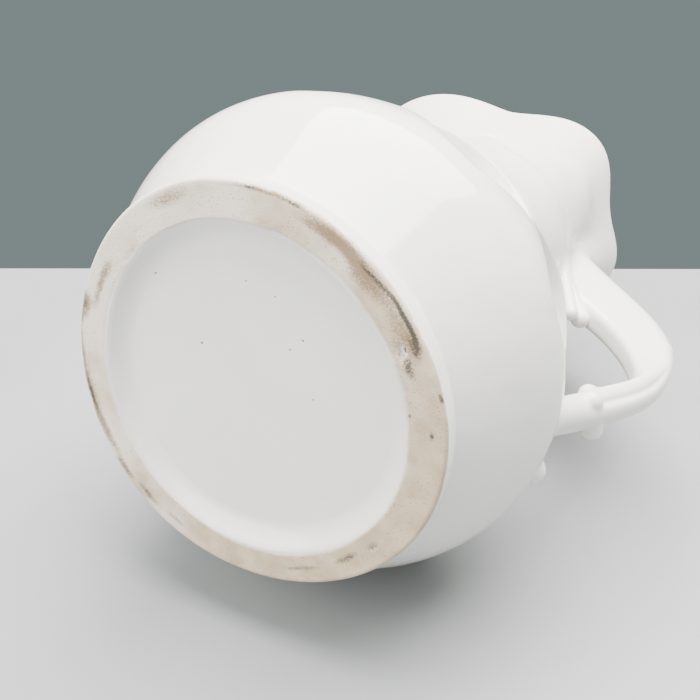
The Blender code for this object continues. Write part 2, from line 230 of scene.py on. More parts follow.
# The chips' broken bottoms, as shares of their depth: an even part and two waves
CHIP_BOTTOM = 0.6
CHIP_WAVES = (0.25, 0.15)
MILLIMETRES = 1000

# Light flecks in the broken bottoms of the two deepest chips
FLECKS = ((-41, 0.0605, 4, 0.0026, 1.4), (27, 0.0624, 2, 0.0012, 1.0))

# Glaze where it is thin, pooled and pricked, and the bare clay with its stains
GLAZE_COLOUR = (0.815, 0.785, 0.74, 1)
POOLED_COLOUR = (0.845, 0.82, 0.785, 1)
PINHOLE_COLOUR = (0.20, 0.16, 0.13, 1)
CLAY_COLOUR = (0.48, 0.36, 0.235, 1)
PALE_CLAY_COLOUR = (0.64, 0.51, 0.365, 1)
# Paler clay, laid in patches that grow towards the upper left of the view and thin out towards the
# lower right
PALE_PATCH_COLOUR = (0.86, 0.79, 0.68, 1)
BROWN_COLOUR = (0.23, 0.14, 0.06, 1)
DARK_COLOUR = (0.04, 0.03, 0.022, 1)
SPECK_COLOUR = (0.14, 0.09, 0.05, 1)
FLECK_COLOUR = (0.82, 0.77, 0.70, 1)
GLAZE_ROUGHNESS = 0.07
RING_GLAZE_ROUGHNESS = 0.10
CLAY_ROUGHNESS = 0.75

# How much darker the clay gets along x and y, per foot radius
CLAY_PALING = (0.45, 0.22)

# Pinholes in the glaze: places from the axis, and their radii
PINHOLES = (
    (-0.0432, -0.0238, RECESS_DEPTH, 0.00045),
    (-0.0100, -0.0358, RECESS_DEPTH, 0.00035),
    (-0.0216, -0.0076, RECESS_DEPTH, 0.00055),
    (0.0098, -0.0205, RECESS_DEPTH, 0.00040),
    (0.0134, -0.0255, RECESS_DEPTH, 0.00050),
    (0.0009, -0.0352, RECESS_DEPTH, 0.00030),
    (0.0214, -0.0078, RECESS_DEPTH, 0.00035),
    (0.0566, -0.0388, 0.0006, 0.00060),
    (0.0703, 0.0042, 0.0129, 0.00050),
)

# Fineness of the meshes: points round each piece, and rows along its zones
AROUND = 344
FOOT_ROWS = (9, 12, 21, 6, 7)
WALL_ROWS = (36, 20, 14, 16, 34, 22, 36)
LIP_ROWS = 13
INSIDE_ROWS = (28, 10, 7)
HANDLE_AROUND = 120
PATH_ROWS = 260
BRANCH_ROWS = 180
ROOT_ROWS = 14
TWIG_AROUND = 48
TWIG_ROWS = (14, 22)

# The photograph's view. The axes are the camera's right, down and forward, lengths are in foot radii,
# and the focal length is in image widths
SENSOR = 36
FOCAL = 900 / 700
FOOT_IN_VIEW = np.array((-0.4899, 0.2154, 4.1373))
AXIS_IN_VIEW = np.array((0.4710, -0.3482, 0.8105))
HANDLE_TURN = radians(55)

# The floor stays this far from the pitcher, so that some light reaches the side that lies on it. Its
# ends are measured from below the camera.
FLOOR_GAP = 0.0040
LYING_AZIMUTH = 78.3
FLOOR_NEAR = -0.6
FLOOR_FAR = 0.543
FLOOR_HALF = 1.2
FLOOR_COLOUR = (0.25, 0.26, 0.26, 1)
PALE_FLOOR_COLOUR = (0.28, 0.29, 0.29, 1)

# Lights: direction as right, up and towards the camera, distance, size and power
KEY_LIGHT = ((0.15, 1.0, 0.40), 1.1, 1.2, 108)
SIDE_LIGHT = ((-0.80, 0.35, 0.80), 1.3, 1.3, 33)
LIGHT_COLOUR = (1, 0.99, 0.97)
LIT_HEIGHT = 0.1
ROOM_COLOUR = (0.48, 0.60, 0.60, 1)
ROOM_STRENGTH = 0.42

# Points of the solid lower than this lie on the ground. The bare clay's faces start this far inside
# the ring, and its own edge is drawn by the material.
GROUND = 0.0001
RING_MARGIN = 0.002


def smooth_outline(x, y):
    """A natural cubic curve through points, as a function of x. Its bends at the points solve the
    linear equations that keep its slope unbroken."""
    x, y = np.array(x), np.array(y)
    gap = np.diff(x)
    slope = np.diff(y) / gap
    matrix = np.eye(len(x))
    right = np.zeros(len(x))
    for i in range(1, len(x) - 1):
        matrix[i, i - 1 : i + 2] = gap[i - 1], 2 * (gap[i - 1] + gap[i]), gap[i]
        right[i] = 6 * (slope[i] - slope[i - 1])
    bend = np.linalg.solve(matrix, right)

    def value(at):
        i = np.clip(np.searchsorted(x, at) - 1, 0, len(gap) - 1)
        t = at - x[i]
        first = slope[i] - gap[i] * (2 * bend[i] + bend[i + 1]) / 6
        return y[i] + t * (first + t * (bend[i] / 2 + t * (bend[i + 1] - bend[i]) / (6 * gap[i])))

    return value


body_radius = smooth_outline(STATION_HEIGHTS, STATION_RADII)


def ease(t):
    """0 to 1 with a level start and end, as half a wave."""
    return 0.5 - 0.5 * np.cos(pi * np.clip(t, 0, 1))


def half_turn(azimuth):
    """Degrees from the handle's side, 0 to 180, alike on both sides."""
    return np.abs((np.degrees(azimuth) + 180) % 360 - 180)


def between(azimuth, stops, values):
    """Eased from value to value at the given azimuths."""
    a = half_turn(azimuth)
    stops, values = np.array(stops, float), np.array(values, float)
    i = np.clip(np.searchsorted(stops, a) - 1, 0, len(stops) - 2)
    t = (a - stops[i]) / (stops[i + 1] - stops[i])
    return values[i] + (values[i + 1] - values[i]) * ease(t)


def lobes(azimuth):
    """The rim's radius: lobes and valleys, then the spout, which fills out quickly from its valley."""
    near = between(azimuth, LOBE_STOPS, LOBE_RADII)
    reach = LOBE_RADII[4] - LOBE_RADII[3]
    share = np.clip((near - LOBE_RADII[3]) / reach, 0, 1)
    full = LOBE_RADII[3] + reach * share**SPOUT_FULLNESS
    return np.where(half_turn(azimuth) > LOBE_STOPS[3], full, near)


def lobe_rise(azimuth):
    """How far the rim dips in its valleys and rises at the spout."""
    return between(azimuth, LOBE_STOPS, (0, -VALLEY_DIP, 0, -VALLEY_DIP, SPOUT_RISE))


def lens(azimuth):
    """The depth of the shoulder's panels: 0 at the knuckles between them and 1 in their middles."""
    return between(azimuth, LENS_STOPS, LENS_DEPTHS) ** LENS_SHARPNESS


def arch(azimuth):
    """0 at the cusps of the crest over the panels and 1 at its tops."""
    a = half_turn(azimuth)
    cusps = np.array(ARCH_CUSPS, float)
    i = np.clip(np.searchsorted(cusps, a) - 1, 0, len(cusps) - 2)
    wave = np.sin(pi * (a - cusps[i]) / (cusps[i + 1] - cusps[i]))
    return np.clip(wave, 0, 1) ** ARCH_FULLNESS


def hill(x, width):
    """A bell curve: 1 at 0 and smoothly down to nothing about twice the width away."""
    return np.exp(-((x / width) ** 2))


def panel_start(azimuth):
    """The height at which a panel starts to sink into the belly."""
    return LENS_TOP - LENS_DROP * lens(azimuth)


def crest_height(azimuth):
    """The height of the arched crest."""
    return SHOULDER_HEIGHT + ARCH_RISE * arch(azimuth)


def crease_height(azimuth):
    """The height of the crease round the neck, which runs up into the pits between the petals."""
    return PETAL_HEIGHT + PIT_RISE * hill(half_turn(azimuth) - PIT_AZIMUTH, PIT_WIDTH)


def shoulder_relief(azimuth, level):
    """Panels sunk between the knuckles, up to the riser of the crest. Above the riser, a bead falls
    off at once and the rest of the crest slowly."""
    depth, lift = lens(azimuth), arch(azimuth)
    above = level - crest_height(azimuth)
    up = ease(1 + np.clip(above, -ARCH_RISER, 0) / ARCH_RISER)
    into = ease((level - panel_start(azimuth)) / LENS_SLOPE)
    raised = ease((level - KNUCKLE_START) / KNUCKLE_RISE)
    low = KNUCKLE * (1 - depth) * raised - LENS_SINK * depth * into
    bead = CREST_BEAD * hill(above, ARCH_RISER / 4)
    after = bead + (1 - CREST_BEAD) * (1 - ease(above / ARCH_FALL))
    height = ARCH_CREST * (CREST_AT_CUSPS + (1 - CREST_AT_CUSPS) * lift)
    crest = height * np.where(above < 0, up, after)
    return low * (1 - up) + crest


def petal_relief(azimuth, level):
    """The sunk petals with their pits, folds and hollows. It fades out at the rim."""
    side = half_turn(azimuth)
    above = level - crease_height(azimuth)
    step = ease(above / PETAL_STEP)
    fade = ease((side - CREASE_FADE[0]) / (CREASE_FADE[1] - CREASE_FADE[0]))
    fade = fade * np.clip((RIM_HEIGHT - level) / (RIM_HEIGHT - PETAL_HEIGHT), 0, 1)
    pit = PIT_SINK * hill(side - PIT_AZIMUTH, PIT_WIDTH) * (1 - ease(above / PIT_LENGTH))
    fold = FOLD * hill(side - FOLD_AZIMUTH, FOLD_WIDTH) * hill(level - FOLD_HEIGHT, FOLD_SIZE)
    hollow = HOLLOW * hill(side - HOLLOW_AZIMUTH, HOLLOW_WIDTH)
    hollow = hollow * hill(level - HOLLOW_HEIGHT, HOLLOW_SIZE)
    return fold - hollow - step * (PETAL_SINK * fade + pit)


def flare(height):
    """0 below the neck, growing to 1 at the rim."""
    t = np.clip((height - NECK_HEIGHT) / (RIM_HEIGHT - NECK_HEIGHT), 0, None)
    return t**LOBE_FLARE


def foot_warp(azimuth, height):
    """The foot is a little out of round, as it came from the kiln."""
    fade = 1 - ease(height / WARP_HEIGHT)
    return FOOT_WARP * fade * np.cos(WARP_WAVES * (azimuth - radians(WARP_AZIMUTH)))


def wall_radius(azimuth, level):
    """The outer wall's radius where it has no relief."""
    spread = flare(level) * (lobes(azimuth) - RIM_RADIUS)
    return body_radius(level) + spread + foot_warp(azimuth, level)


def relief(azimuth, level):
    """How far the outer surface stands out from the smooth outline."""
    return shoulder_relief(azimuth, level) + petal_relief(azimuth, level)


def wall_points(azimuth, level, inward):
    """Points of the wall a distance in from its turned outline, spread into the rim's lobes."""
    radius = wall_radius(azimuth, level) - inward
    level = level + flare(level) ** 2 * lobe_rise(azimuth)
    return np.stack([radius * np.cos(azimuth), radius * np.sin(azimuth), level], axis=-1)


def level_points(azimuth, radius, height):
    """Points of the foot and the floor: rings at their own heights."""
    radius = radius + foot_warp(azimuth, height)
    level = height + 0 * azimuth
    return np.stack([radius * np.cos(azimuth), radius * np.sin(azimuth), level], axis=-1)


def foot_rows(azimuth):
    """The flat recess, its fillet, the flat ring, the ring's rounded edge and the foot's wall."""
    flat_rows, fillet_rows, ring_rows, edge_rows, side_rows = FOOT_ROWS
    inner = FOOT_RADIUS - RING_WIDTH
    flat = np.linspace(0, inner - RECESS_FILLET, flat_rows)[1:-1]
    turn = np.linspace(0, pi / 2, fillet_rows)
    ring = np.linspace(inner, FOOT_RADIUS - RING_EDGE, ring_rows)[1:]
    bend = np.linspace(0, pi / 2, edge_rows)[1:]
    side = np.linspace(RING_EDGE, FOOT_WALL * FOOT_HEIGHT, side_rows)[1:]
    radius = np.concatenate([
        flat,
        inner - RECESS_FILLET * np.cos(turn),
        ring,
        FOOT_RADIUS - RING_EDGE * (1 - np.sin(bend)),
        np.full_like(side, FOOT_RADIUS),
    ])
    height = np.concatenate([
        np.full_like(flat, RECESS_DEPTH),
        RECESS_DEPTH * (1 - (1 - np.cos(turn)) ** 2),
        np.zeros_like(ring),
        RING_EDGE * (1 - np.cos(bend)),
        side,
    ])
    return level_points(azimuth, radius[:, None], height[:, None])


def rows_between(low, high, count):
    """Rows of heights from low up to high, without high itself, each height per azimuth."""
    return low + (high - low) * (np.arange(count) / count)[:, None]


def wall_rows(azimuth):
    """The outer wall from the foot's crease to the rim. Its rows bend to follow the edges of the
    relief: where the panels start, the riser, the crest and the crease."""
    none = 0 * azimuth
    start, crest, crease = panel_start(azimuth), crest_height(azimuth), crease_height(azimuth)
    edges = (
        none + FOOT_HEIGHT, start, crest - ARCH_RISER, crest, crest + ARCH_RISER,
        crease - PETAL_STEP, crease + CREASE_ZONE * PETAL_STEP, none + RIM_HEIGHT - LIP / 2,
    )
    zones = zip(edges, edges[1:], WALL_ROWS)
    level = np.concatenate([rows_between(low, high, count) for low, high, count in zones])
    return wall_points(azimuth, level, -relief(azimuth, level))


def lip_rows(azimuth):
    """The rounded rim."""
    half = LIP / 2
    turn = np.linspace(0, pi, LIP_ROWS)[:, None]
    level = RIM_HEIGHT - half + half * np.sin(turn)
    return wall_points(azimuth, level + 0 * azimuth, half * (1 - np.cos(turn)))


def inner_rows(azimuth):
    """The inside, from under the rim down the wall and round to the floor. The wall grows from the
    lip's thickness to its own, and follows part of what is sunk into the outside."""
    wall_count, fillet_count, floor_count = INSIDE_ROWS
    top, start = RIM_HEIGHT - LIP / 2, RECESS_DEPTH + FLOOR + FLOOR_FILLET
    t = np.linspace(0, 1, wall_count)[1:, None]
    level = top + (start - top) * t + 0 * azimuth
    sunk = np.minimum(relief(azimuth, level), 0)
    wall = LIP + (WALL - LIP) * ease(t / LIP_SHARE) - RELIEF_INSIDE * sunk
    turn = np.linspace(0, pi / 2, fillet_count)[1:, None]
    inner = body_radius(start) - WALL
    radius = inner - FLOOR_FILLET * (1 - np.cos(turn))
    floor_radius = np.linspace(inner - FLOOR_FILLET, 0, floor_count)[1:-1, None]
    return np.concatenate([
        wall_points(azimuth, level, wall),
        level_points(azimuth, radius, start - FLOOR_FILLET * np.sin(turn)),
        level_points(azimuth, floor_radius, start - FLOOR_FILLET + 0 * floor_radius),
    ])


def capsule_distance(points, start, end, radius):
    """Distance from points to a round-ended branch: that to its middle line, less its radius."""
    start, end = np.array(start), np.array(end)
    along = end - start
    t = np.clip((points - start) @ along / (along @ along), 0, 1)
    return np.linalg.norm(points - start - t[..., None] * along, axis=-1) - radius


def soft_least(a, b, width):
    """The smaller of two distances, less a cubic of how alike they are, as glaze fills a corner."""
    h = np.clip(width - np.abs(a - b), 0, None) / width
    return np.minimum(a, b) - width * h**3 / 6


def raise_buds(points):
    """Moves the wall's points out along their spokes onto the buds that grow from the wall. Each point
    starts well outside, and steps in until it meets the bud or its own place, softly joined."""
    radius = np.hypot(points[..., 0], points[..., 1])
    spoke = points * (1, 1, 0) / np.maximum(radius, 1e-9)[..., None]
    for start, end, size, join in WALL_TWIGS:
        near = capsule_distance(points, start, end, size) < BUD_ZONE
        base, out = points[near], spoke[near]
        push = np.full(len(base), WALL_START)
        for _ in range(SETTLE_STEPS):
            bud = capsule_distance(base + out * push[:, None], start, end, size)
            push = np.clip(push - SETTLE_SHARE * soft_least(push, bud, join), 0, None)
        points[near] = base + out * push[:, None]
    return points


def foot_patch(points, azimuth, reach, half_length, half_width):
    """1 at a place of the foot ring, falling to 0 at the edge of an oval round it, along the ring by a
    half length in degrees and across it by a half width."""
    angle = np.degrees(np.arctan2(points[..., 1], points[..., 0])) - azimuth
    along = ((angle + 180) % 360 - 180) / half_length
    across = (np.hypot(points[..., 0], points[..., 1]) - reach) / half_width
    return np.clip(1 - along**2 - across**2, 0, 1)


def chip_foot(points):
    """Sinks the chips into the foot ring. Their broken bottoms are an even depth plus two bent waves of
    about a millimetre, one along x and one along y."""
    x, y = points[..., 0] * MILLIMETRES, points[..., 1] * MILLIMETRES
    waves = np.sin(5.1 * x + 2 * np.sin(3.7 * y)), np.sin(7.3 * y + 2 * np.sin(4.9 * x))
    broken = CHIP_BOTTOM + CHIP_WAVES[0] * waves[0] + CHIP_WAVES[1] * waves[1]
    low = points[..., 2] < RING_EDGE
    for azimuth, reach, length, width, depth in CHIPS:
        patch = foot_patch(points, azimuth, reach, length, width)
        points[..., 2] += depth * low * np.sqrt(patch) * broken
    return points


def grid_faces(rows, around):
    """Quads between neighbouring rows of a closed tube of points."""
    i = np.arange(rows - 1)[:, None] * around
    k = np.arange(around)[None, :]
    after = (k + 1) % around
    return np.stack([i + k, i + after, i + around + after, i + around + k], axis=-1).reshape(-1, 4)


def closed_tube(name, points, first, last):
    """A closed mesh from rows of points, with a pole at each end. Faces turn outwards when the rows
    run so that their own direction crossed with the direction round them points out."""
    rows, around = points.shape[:2]
    quads = grid_faces(rows, around)
    k = np.arange(around)
    after = (k + 1) % around
    end = rows * around
    caps = np.concatenate([
        np.stack([np.full(around, end), after, k], axis=-1),
        np.stack([np.full(around, end + 1), end - around + k, end - around + after], axis=-1),
    ])
    corners = np.concatenate([points.reshape(-1, 3), [first, last]])
    loops = np.concatenate([quads.ravel(), caps.ravel()])
    starts = np.concatenate([np.arange(len(quads)) * 4, len(quads) * 4 + np.arange(len(caps)) * 3])
    mesh = bpy.data.meshes.new(name)
    mesh.vertices.add(len(corners))
    mesh.vertices.foreach_set("co", corners.ravel())
    mesh.loops.add(len(loops))
    mesh.loops.foreach_set("vertex_index", loops)
    mesh.polygons.add(len(starts))
    mesh.polygons.foreach_set("loop_start", starts)
    mesh.update(calc_edges=True)
    mesh.validate()
    mesh.shade_smooth()
    piece = bpy.data.objects.new(name, mesh)
    bpy.context.scene.collection.objects.link(piece)
    return piece


def pitcher_body(axis):
    """One closed shell: foot, belly, shoulder, neck, rim and inside, as rows of points round the axis
    at even azimuths."""
    azimuth = np.arange(AROUND) * 2 * pi / AROUND
    wall = raise_buds(wall_rows(azimuth))
    foot = chip_foot(foot_rows(azimuth))
    points = np.concatenate([foot, wall, lip_rows(azimuth), inner_rows(azimuth)])
    first = axis + (0, 0, RECESS_DEPTH)
    last = axis + (0, 0, RECESS_DEPTH + FLOOR)
    return closed_tube("pitcher_body", points + axis, first, last)


def spline_through(knots, count):
    """A natural cubic curve through knots, at even steps of its chord length. The knots' columns can
    hold anything that runs along the curve: places, radii."""
    knots = np.array(knots, float)
    chord = np.concatenate([[0], np.cumsum(np.hypot(*np.diff(knots[:, :2], axis=0).T))])
    at = np.linspace(0, chord[-1], count)
    curves = [smooth_outline(chord, column) for column in knots.T]
    return np.stack([curve(at) for curve in curves], axis=1), at / chord[-1]


def handle_path(count):
    """The handle from its upper root out and down to the elbow and back in to the shoulder. Each row is
    reach, height, half thickness and half width."""
    upper = wall_radius(0.0, UPPER_ROOT_HEIGHT) - ROOT_SINK
    lower = wall_radius(0.0, LOWER_ROOT_HEIGHT) - ROOT_SINK
    middle = [(HANDLE_REACH - inward, height) for inward, height in HANDLE_KNOTS]
    places = [(upper, UPPER_ROOT_HEIGHT), *middle, (lower, LOWER_ROOT_HEIGHT)]
    sizes = zip(HANDLE_DEPTHS, HANDLE_WIDTHS)
    return spline_through([(*place, *size) for place, size in zip(places, sizes)], count)


def signed_power(x, power):
    """A power that keeps its sign."""
    return np.sign(x) * np.abs(x) ** power


def handle_surface(path, along):
    """The branch's surface. Its section is a rounded square, narrower inside the loop, and turns to an
    oval with a ridge and a groove along the lower arm. Each spoke from the path then runs out to where
    the arm and its knots end, with the corners between them filled softly."""
    centres = np.stack([path[:, 0], 0 * path[:, 0], path[:, 1]], axis=1)
    step = np.gradient(centres, axis=0)
    step /= np.linalg.norm(step, axis=1)[:, None]
    side = np.array((0.0, 1.0, 0.0))
    out = np.cross(step, side)
    turn = np.arange(HANDLE_AROUND) * 2 * pi / HANDLE_AROUND
    lower = ease((along - LOWER_ARM) / LOWER_ARM_SPAN)[:, None]
    power = 2 / (SQUARENESS + (2 - SQUARENESS) * lower)
    u = signed_power(np.cos(turn)[None], power)
    v = signed_power(np.sin(turn)[None], power)
    inwards = ease((NARROWING_START - u) / NARROWING_SPAN)
    v = v * (1 - INNER_NARROWING * (1 - lower) * inwards)
    u, v = u * path[:, 2:3], v * path[:, 3:4]
    own = np.hypot(u, v)
    spoke = (u / own)[..., None] * out[:, None] + (v / own)[..., None] * side
    angle = np.degrees(turn)[None]
    end = 1 - ease((along - RIDGE_END) / RIDGE_FADE)[:, None]
    ridge, groove = (size * hill(angle - at, spread) for size, at, spread in (RIDGE, GROOVE))
    own = own + lower * end * (ridge - groove)
    reach = HANDLE_START + own
    for _ in range(SETTLE_STEPS):
        points = centres[:, None] + spoke * reach[..., None]
        field = reach - own
        for start, stop, size, join in HANDLE_TWIGS:
            field = soft_least(field, capsule_distance(points, start, stop, size), join)
        reach = reach - SETTLE_SHARE * field
    return centres[:, None] + spoke * reach[..., None]


def outside(points):
    """How far points lie outside the wall, along their spokes from the axis."""
    azimuth = np.arctan2(points[..., 1], points[..., 0])
    level = points[..., 2] - flare(points[..., 2]) ** 2 * lobe_rise(azimuth)
    wall = wall_radius(azimuth, level) + relief(azimuth, level)
    return np.hypot(points[..., 0], points[..., 1]) - wall


def onto_wall(points, proud):
    """Points moved along their spokes to stand proud of the wall by the given height."""
    radius = np.hypot(points[..., 0], points[..., 1])
    return points + points * (1, 1, 0) / radius[..., None] * (proud - outside(points))[..., None]


def at_row(tube, place):
    """Points on each of a tube's lines at its own fractional row."""
    low = np.clip(place.astype(int), 0, len(tube) - 2)
    part = (place - low)[..., None]
    k = np.arange(tube.shape[1])
    return tube[low, k] * (1 - part) + tube[low + 1, k] * part


def root(tube):
    """A soft root where a tube, read from its end inside the wall, comes out. On each of its lines the
    corner is where it leaves the wall, and the root is a curve from the wall, a fillet's width from the
    corner, to the tube, as far above it. A skirt runs on from the curve and dips under the wall.
    Returns the root, the rows at which the tube goes on, and a pole inside the wall."""
    proud = outside(tube)
    k = np.arange(tube.shape[1])
    first = np.argmax(proud > 0, axis=0)
    low, high = proud[first - 1, k], proud[first, k]
    crossing = first - 1 + low / (low - high)
    corner = at_row(tube, crossing)
    length = np.linalg.norm(np.diff(tube, axis=0), axis=2).mean()
    above = crossing + ROOT_FILLET / length
    on_tube = at_row(tube, above)
    away = corner - corner.mean(axis=0)
    away /= np.linalg.norm(away, axis=1)[:, None]
    on_wall = onto_wall(corner + ROOT_FILLET * away, ROOT_PROUD)
    skirt = onto_wall(corner + ROOT_SKIRT * ROOT_FILLET * away, -ROOT_TUCK)
    t = np.linspace(0, 1, ROOT_ROWS)[:, None, None]
    curve = (1 - t) ** 2 * on_wall + 2 * t * (1 - t) * corner + t**2 * on_tube
    pole = corner.mean(axis=0) - (ROOT_POLE, 0, 0)
    return np.concatenate([skirt[None], curve]), above, pole


def pitcher_handle(axis):
    """The twig handle with its soft roots, one closed branch whose ends lie in the wall."""
    tube = handle_surface(*handle_path(PATH_ROWS))
    upper, start, first = root(tube)
    lower, end, last = root(tube[::-1])
    end = len(tube) - 1 - end
    t = np.linspace(0, 1, BRANCH_ROWS)[1:-1]
    between_roots = np.stack([at_row(tube, start + (end - start) * part) for part in t])
    points = np.concatenate([upper, between_roots, lower[::-1]])
    return closed_tube("pitcher_handle", points + axis, first + axis, last + axis)


def root_twig(number, axis):
    """One of the twigs that lie along the handle's upper root. It is a straight tube with round ends,
    whose radius grows by a fifth from its start to its end."""
    start, end, size = ROOT_TWIGS[number]
    start, end = np.array(start), np.array(end)
    along = end - start
    length = np.linalg.norm(along)
    along /= length
    across = np.cross(along, (0.0, 1.0, 0.0))
    across /= np.linalg.norm(across)
    over = np.cross(along, across)
    small = TWIG_TAPER * size
    bend_rows, straight_rows = TWIG_ROWS
    bend = np.linspace(-pi / 2, 0, bend_rows)[1:]
    t = np.linspace(0, 1, straight_rows)[1:-1]
    back = bend[::-1]
    radius = np.concatenate([small * np.cos(bend), small + (size - small) * t, size * np.cos(back)])
    place = np.concatenate([small * np.sin(bend), length * t, length - size * np.sin(back)])
    turn = np.arange(TWIG_AROUND) * 2 * pi / TWIG_AROUND
    ring = np.cos(turn)[:, None] * across + np.sin(turn)[:, None] * over
    points = start + place[:, None, None] * along + radius[:, None, None] * ring
    first, last = start - small * along, end + size * along
    return closed_tube(f"root_twig_{number}", points + axis, first + axis, last + axis)


class Value:
    """A number that varies over a surface. Arithmetic on it adds Math nodes."""

    def __init__(self, paint, socket):
        self.paint, self.socket = paint, socket

    def math(self, operation, *others):
        inputs = dict(enumerate((self, *others)))
        return self.paint.node("Math", {"operation": operation}, inputs)[0]

    def __add__(self, other):
        return self.math("ADD", other)

    def __mul__(self, other):
        return self.math("MULTIPLY", other)

    def __sub__(self, other):
        return self.math("SUBTRACT", other)

    def __rsub__(self, other):
        return self.paint.node("Math", {"operation": "SUBTRACT"}, {0: other, 1: self})[0]

    def __truediv__(self, other):
        return self.math("DIVIDE", other)

    def __pow__(self, other):
        return self.math("POWER", other)

    __radd__ = __add__
    __rmul__ = __mul__

    def clamp(self):
        """Held between 0 and 1."""
        return self.math("MAXIMUM", 0.0).math("MINIMUM", 1.0)

    def above(self, edge, soft):
        """0 below the edge, 1 above it, with a soft step."""
        settings = {"interpolation_type": "SMOOTHSTEP"}
        return self.paint.node("MapRange", settings, {0: self, 1: edge - soft, 2: edge + soft})[0]


class Paint:
    """A material and the way its nodes are made."""

    def __init__(self, name):
        self.material = bpy.data.materials.new(name)
        self.material.use_nodes = True
        self.tree = self.material.node_tree
        self.tree.nodes.clear()
        self.place = self.node("TexCoord").by_name("Object")

    def node(self, kind, settings=None, inputs=None):
        """Any node: its type, its settings, and the values or links of its sockets."""
        made = self.tree.nodes.new("ShaderNode" + kind)
        for name, value in (settings or {}).items():
            setattr(made, name, value)
        for name, value in (inputs or {}).items():
            socket = made.inputs[name]
            if isinstance(value, Value):
                self.tree.links.new(value.socket, socket)
            else:
                socket.default_value = value
        return Outputs(self, made)

    def noise(self, scale, detail, rough=0.55):
        """Soft cloudy noise from 0 to 1, with its scale in features per metre."""
        inputs = {"Vector": self.place, "Scale": scale, "Detail": detail, "Roughness": rough}
        return self.node("TexNoise", None, inputs)[0]

    def mix(self, share, first, second):
        """From the first colour to the second by share."""
        return self.node("Mix", {"data_type": "RGBA"}, {0: share, 6: first, 7: second})[2]

    def parts(self):
        """The surface's own x, y and z."""
        made = self.node("SeparateXYZ", None, {0: self.place})
        return made[0], made[1], made[2]

    def distance(self, point):
        """Distance from a point."""
        made = self.node("VectorMath", {"operation": "DISTANCE"}, {0: self.place, 1: point})
        return made.by_name("Value")

    def bump(self, height, depth, before=None):
        """A normal that follows a height, whose 0 to 1 is the given depth in metres."""
        inputs = {"Height": height, "Distance": depth, "Strength": 1.0}
        if before is not None:
            inputs["Normal"] = before
        return self.node("Bump", None, inputs)[0]

    def finish(self, colour, roughness, normal, **constants):
        """The shader, with what varies linked and what doesn't set on its own sockets."""
        inputs = {"Base Color": colour, "Roughness": roughness, "Normal": normal}
        inputs.update({name.replace("_", " "): value for name, value in constants.items()})
        shader = self.node("BsdfPrincipled", None, inputs)
        self.node("OutputMaterial", None, {"Surface": shader[0]})
        return self.material


class Outputs:
    """The output sockets of a node, by number or name."""

    def __init__(self, paint, made):
        self.paint, self.made = paint, made

    def __getitem__(self, number):
        return Value(self.paint, self.made.outputs[number])

    def by_name(self, name):
        return Value(self.paint, self.made.outputs[name])


def pinholes(paint, axis):
    """How near each spot is to a pinhole in the glaze, 1 inside it."""
    marks = []
    for x, y, z, radius in PINHOLES:
        away = paint.distance((x + float(axis[0]), y, z))
        marks.append(1 - away.above(0.7 * radius, 0.4 * radius))
    return sum(marks).clamp()


def glaze(axis):
    """White glaze over ironstone, pooled a little unevenly and pricked by pinholes."""
    paint = Paint("white_glaze")
    cloud = paint.noise(22, 3)
    colour = paint.mix(cloud.above(0.5, 0.3), GLAZE_COLOUR, POOLED_COLOUR)
    holes = pinholes(paint, axis)
    colour = paint.mix(holes, colour, PINHOLE_COLOUR)
    ripple = paint.noise(45, 2)
    peel = paint.noise(420, 2)
    normal = paint.bump(ripple, 0.0006)
    normal = paint.bump(peel, 0.00002, normal)
    normal = paint.bump(1 - holes, 0.0003, normal)
    roughness = GLAZE_ROUGHNESS + 0.05 * cloud + 0.5 * holes
    return paint.finish(colour, roughness, normal, Specular_IOR_Level=0.5, IOR=1.5)


def stains(paint, radius, azimuth, marks):
    """How stained the foot ring is: ovals along it, with edges that noise wears away."""
    cloud = paint.noise(420, 6, 0.7)
    grain = paint.noise(1400, 4, 0.7)
    wander = paint.noise(90, 3)
    patches = []
    for turn, reach, length, width, strength in marks:
        angle = azimuth - turn + 6 * (wander - 0.5)
        along = angle.math("WRAP", 180.0, -180.0) / length
        across = (radius - reach + 0.002 * (wander - 0.5)) / width
        patch = (1 - 0.5 * (along * along + across * across)).clamp()
        patches.append(strength * patch * patch)
    total = sum(patches)
    worn = total * (0.4 + 1.2 * cloud) + 1.8 * (grain - 0.5) * (2 * total).clamp()
    return worn.above(0.48, 0.42)


